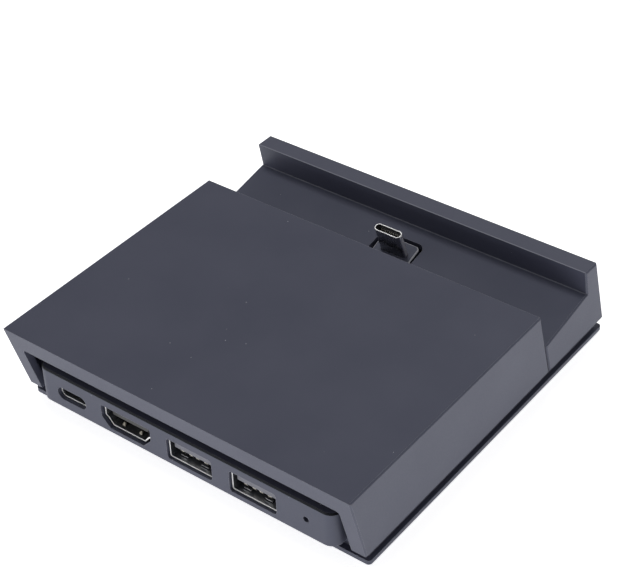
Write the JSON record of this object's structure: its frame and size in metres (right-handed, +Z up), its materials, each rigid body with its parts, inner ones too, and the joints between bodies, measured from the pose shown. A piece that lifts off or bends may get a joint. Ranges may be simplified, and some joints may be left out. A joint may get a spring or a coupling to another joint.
{
  "type": "handheld console dock",
  "caption": "Low wedge-shaped dock with a slot and an upright tilting plug for a handheld console, and sockets for power, video and data in its opposite end.",
  "frame": {"origin": "under the middle of the dock, on the surface it stands on", "axes": "+X along the slot, to the right as seen from the socket side; +Y from the socket side to the lip; +Z up"},
  "size_m": [0.104, 0.109, 0.0254],
  "materials": {
    "case": "fine matte moulded texture, dark slate grey",
    "rubber": "matte",
    "steel": "zinc plated",
    "nickel": "bright nickel plate",
    "gold": "gold flash",
    "socket_plastic": "plain moulded",
    "dark_plastic": "plain moulded",
    "board": "solder mask",
    "lens": "clear, unlit",
    "ferrite": "pressed powder",
    "can": "bare",
    "film": "thin film"
  },
  "bodies": {
    "dock": {"outer_cover": "case", "cradle": "case", "base_tray": "case", "port_housing": "case", "rubber_feet": "rubber", "case_screws": "steel", "main_board": "board", "data_socket_1_shell": "nickel", "data_socket_1_insulator": "socket_plastic", "data_socket_1_contacts": "gold", "data_socket_2_shell": "nickel", "data_socket_2_insulator": "socket_plastic", "data_socket_2_contacts": "gold", "video_socket_shell": "nickel", "video_socket_insulator": "dark_plastic", "video_socket_contacts": "gold", "power_socket_shell": "nickel", "power_socket_insulator": "dark_plastic", "power_socket_contacts": "gold", "status_lens": "lens", "status_light": "socket_plastic", "video_chip": "dark_plastic", "hub_chip": "dark_plastic", "power_chip": "dark_plastic", "power_inductor": "ferrite", "capacitors": "can", "board_ribbon_socket": "socket_plastic", "ribbon": "film", "pivot_bracket": "dark_plastic", "centring_spring": "steel"},
    "plug": {"plug_carrier": "case", "plug_shell": "nickel", "plug_insulator": "dark_plastic", "plug_contacts": "gold", "plug_board": "board", "plug_ribbon_socket": "socket_plastic"}
  },
  "joints": [
    {"name": "plug_tilt", "type": "hinge", "parent": "dock", "child": "plug", "pos_m": [0, 0.03674, 0.01098], "axis": [1, 0, 0], "range_deg": [-8, 4], "stiffness_Nm_per_rad": 0.05, "deforming": ["centring_spring", "ribbon"]}
  ]
}
